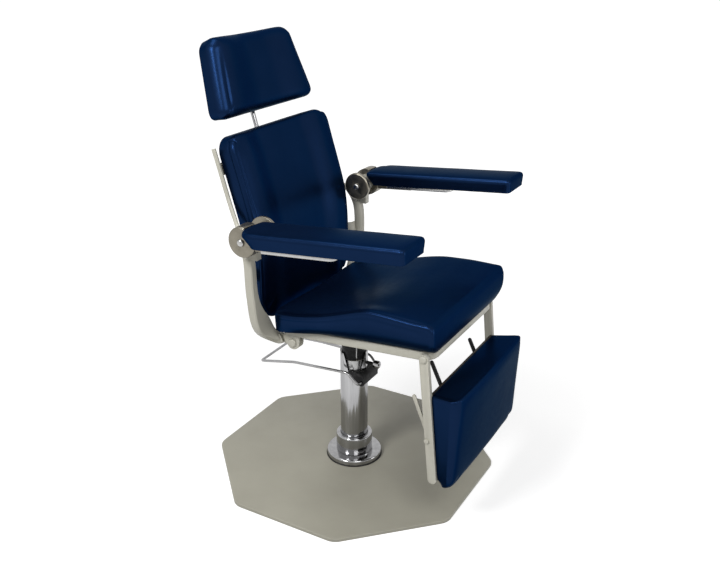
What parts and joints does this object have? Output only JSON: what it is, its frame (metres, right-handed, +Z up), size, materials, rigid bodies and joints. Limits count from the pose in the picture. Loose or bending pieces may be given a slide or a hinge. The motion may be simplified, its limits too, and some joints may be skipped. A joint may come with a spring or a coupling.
{
  "type": "ear nose and throat chair",
  "caption": "Ear, nose and throat examination chair with a lifting column, swivel seat, reclining back, flip-up arm rests, height-set head rest and raising leg rest on an octagonal floor plate",
  "frame": {"origin": "On the floor, on the axis of the column, in the middle of the floor plate's under face", "axes": "+Z up along the column; the chair faces -Y; +X is the sitter's left"},
  "size_m": [0.762, 0.8058, 1.211],
  "materials": {
    "vinyl": "satin",
    "plate_paint": "satin",
    "frame_paint": "satin",
    "chrome": "polished",
    "nickel": "satin",
    "steel": "satin",
    "black": "satin",
    "liner": "matte",
    "ply": "matte"
  },
  "bodies": {
    "base": {"base_plate": "plate_paint", "base_flange": "chrome", "column_collar": "chrome", "column_tube": "chrome", "column_bush": "liner", "lift_piston_rod": "steel", "bail_saddle": "black"},
    "bail": {"height_bail": "chrome"},
    "lock": {"lock_spindle": "black", "lock_knob": "chrome"},
    "ram": {"lift_ram": "steel", "ram_guide_ring": "liner", "gas_cylinder": "black", "swivel_washer": "liner"},
    "seat": {"swivel_hub": "black", "seat_mount_plate": "black", "seat_frame": "frame_paint", "seat_board": "ply", "seat_cushion": "vinyl", "recline_pin_right": "steel", "recline_pin_left": "steel", "legrest_bolt_right": "steel", "legrest_bolt_left": "steel"},
    "back": {"back_side_right": "frame_paint", "back_side_left": "frame_paint", "recline_disc_right": "liner", "recline_disc_left": "liner", "back_cross_upper": "frame_paint", "back_cross_lower": "frame_paint", "back_board": "ply", "back_cushion": "vinyl", "arm_hub_cap_right": "nickel", "arm_hub_cap_left": "nickel", "arm_pivot_bolt_right": "steel", "arm_pivot_bolt_left": "steel", "headrest_clamp": "black"},
    "knob": {"headrest_knob": "black"},
    "post": {"headrest_rod": "chrome", "headrest_block": "steel"},
    "head": {"headrest_plate": "steel", "headrest_cushion": "vinyl"},
    "arm_right": {"arm_drum_right": "nickel", "arm_plate_right": "steel", "arm_pad_right": "vinyl"},
    "arm_left": {"arm_drum_left": "nickel", "arm_plate_left": "steel", "arm_pad_left": "vinyl"},
    "legrest": {"legrest_bar_right": "frame_paint", "legrest_bar_left": "frame_paint", "legrest_cross_upper": "frame_paint", "legrest_cross_lower": "frame_paint", "legrest_board": "ply", "legrest_pad": "vinyl", "legrest_tie_rod_right": "black", "legrest_tie_rod_left": "black", "release_bolt": "steel"},
    "lever": {"release_lever": "frame_paint"}
  },
  "joints": [
    {"name": "seat_lift", "type": "slide", "parent": "base", "child": "ram", "axis": [0, 0, 1], "range_m": [0, 0.15]},
    {"name": "seat_swivel", "type": "hinge", "parent": "ram", "child": "seat", "pos_m": [0, 0, 0.353], "axis": [0, 0, 1], "continuous": true},
    {"name": "back_recline", "type": "hinge", "parent": "seat", "child": "back", "pos_m": [0, 0.075, 0.441], "axis": [-1, 0, 0], "range_deg": [0, 70]},
    {"name": "arm_flip_right", "type": "hinge", "parent": "back", "child": "arm_right", "pos_m": [-0.2285, 0.124, 0.759], "axis": [-1, 0, 0], "range_deg": [0, 90]},
    {"name": "arm_flip_left", "type": "hinge", "parent": "back", "child": "arm_left", "pos_m": [0.2285, 0.124, 0.759], "axis": [-1, 0, 0], "range_deg": [0, 90]},
    {"name": "headrest_height", "type": "slide", "parent": "back", "child": "post", "axis": [0, 0.289, 0.9573], "range_m": [0, 0.1]},
    {"name": "headrest_tilt", "type": "hinge", "parent": "post", "child": "head", "pos_m": [0, 0.35026, 1.10079], "axis": [-1, 0, 0], "range_deg": [-6, 30]},
    {"name": "headrest_knob", "type": "hinge", "parent": "back", "child": "knob", "pos_m": [0, 0.30518, 0.90131], "axis": [0, 0.9573, -0.289], "range_deg": [0, 270]},
    {"name": "legrest_raise", "type": "hinge", "parent": "seat", "child": "legrest", "pos_m": [0, -0.318, 0.497], "axis": [-1, 0, 0], "range_deg": [0, 75]},
    {"name": "legrest_release", "type": "hinge", "parent": "legrest", "child": "lever", "pos_m": [0, -0.33452, 0.27001], "axis": [-1, 0, 0], "range_deg": [0, 20], "stiffness_Nm_per_rad": 1.5},
    {"name": "height_bail", "type": "hinge", "parent": "base", "child": "bail", "pos_m": [0, -0.0475, 0.279], "axis": [1, 0, 0], "range_deg": [0, 12], "stiffness_Nm_per_rad": 4},
    {"name": "column_lock", "type": "hinge", "parent": "base", "child": "lock", "pos_m": [0, 0, 0.319], "axis": [0.1392, -0.9903, 0], "range_deg": [0, 180]}
  ]
}
